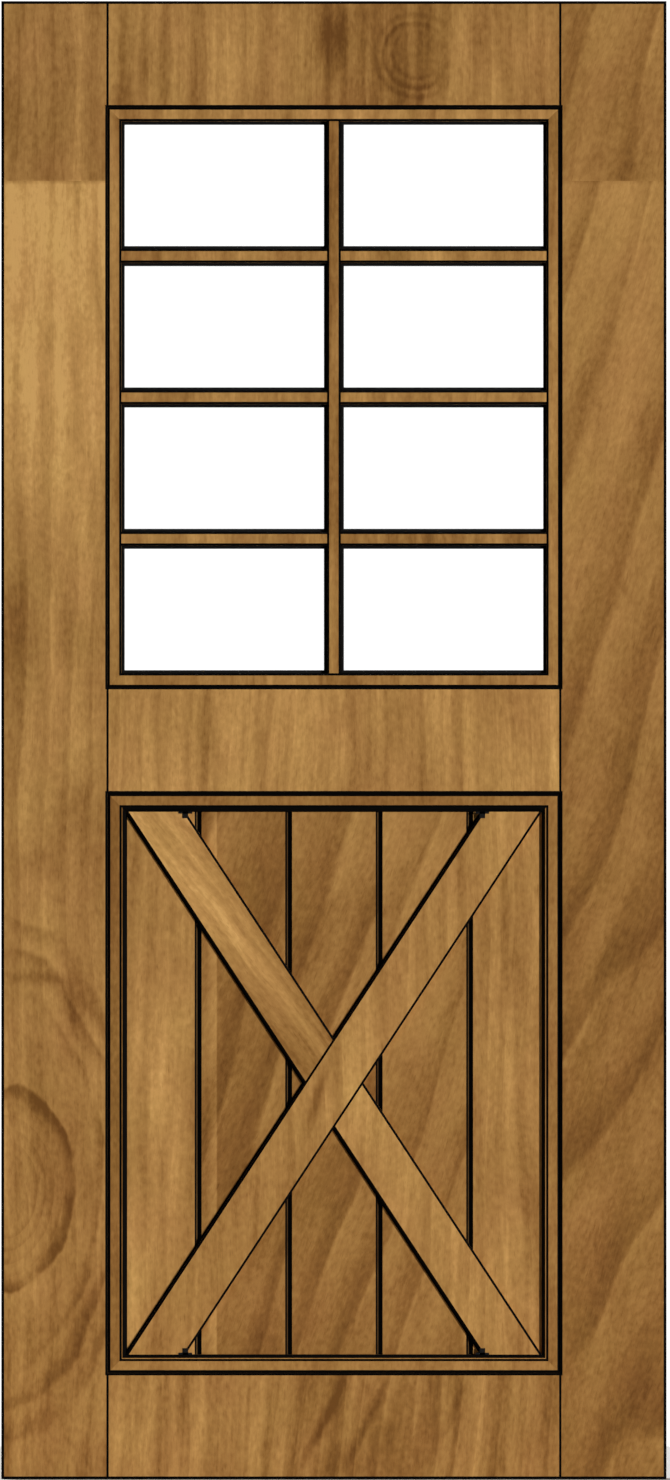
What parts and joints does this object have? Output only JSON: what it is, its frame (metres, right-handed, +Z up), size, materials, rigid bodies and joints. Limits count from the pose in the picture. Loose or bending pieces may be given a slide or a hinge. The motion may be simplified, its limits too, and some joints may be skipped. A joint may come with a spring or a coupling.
{
  "type": "wooden door",
  "caption": "Wooden stile-and-rail door leaf with a divided glazed light above and a vertical plank panel with crossed braces below, hung from its hinge edge.",
  "frame": {"origin": "on the hinge edge's face, at the foot of the door and the middle of its thickness", "axes": "+Z up, +X from the hinge edge to the latch edge, -Y out of the front face"},
  "size_m": [0.9144, 0.0444, 2.032],
  "materials": {
    "frame_wood": "clear satin oil",
    "plank_wood": "clear satin oil",
    "moulding_wood": "clear satin oil",
    "brace_wood": "clear satin oil",
    "sash_wood": "clear satin oil",
    "pane_glass": "clear float",
    "glazing_seal": "matt black",
    "bead_pin": "dull brass",
    "brace_clip": "matt black"
  },
  "bodies": {
    "root": {"bottom_left_pane": "pane_glass", "bottom_moulding_back": "moulding_wood", "bottom_moulding_front": "moulding_wood", "bottom_rail": "frame_wood", "bottom_right_pane": "pane_glass", "bottom_sash_member": "sash_wood", "left_glazing_bar_1": "sash_wood", "left_glazing_bar_2": "sash_wood", "left_glazing_bar_3": "sash_wood", "left_moulding_back": "moulding_wood", "left_moulding_front": "moulding_wood", "left_sash_member": "sash_wood", "left_stile": "frame_wood", "level_glazing_beads": "sash_wood", "lock_rail": "frame_wood", "lower_half_brace_back": "brace_wood", "lower_half_brace_front": "brace_wood", "lower_left_pane": "pane_glass", "lower_right_pane": "pane_glass", "plank_1": "plank_wood", "plank_2": "plank_wood", "plank_3": "plank_wood", "plank_4": "plank_wood", "plank_5": "plank_wood", "right_glazing_bar_1": "sash_wood", "right_glazing_bar_2": "sash_wood", "right_glazing_bar_3": "sash_wood", "right_moulding_back": "moulding_wood", "right_moulding_front": "moulding_wood", "right_sash_member": "sash_wood", "right_stile": "frame_wood", "through_brace_back": "brace_wood", "through_brace_front": "brace_wood", "top_left_pane": "pane_glass", "top_moulding_back": "moulding_wood", "top_moulding_front": "moulding_wood", "top_rail": "frame_wood", "top_right_pane": "pane_glass", "top_sash_member": "sash_wood", "upper_half_brace_back": "brace_wood", "upper_half_brace_front": "brace_wood", "upper_left_pane": "pane_glass", "upper_right_pane": "pane_glass", "upright_glazing_bar": "sash_wood", "upright_glazing_beads": "sash_wood"}
  },
  "joints": []
}
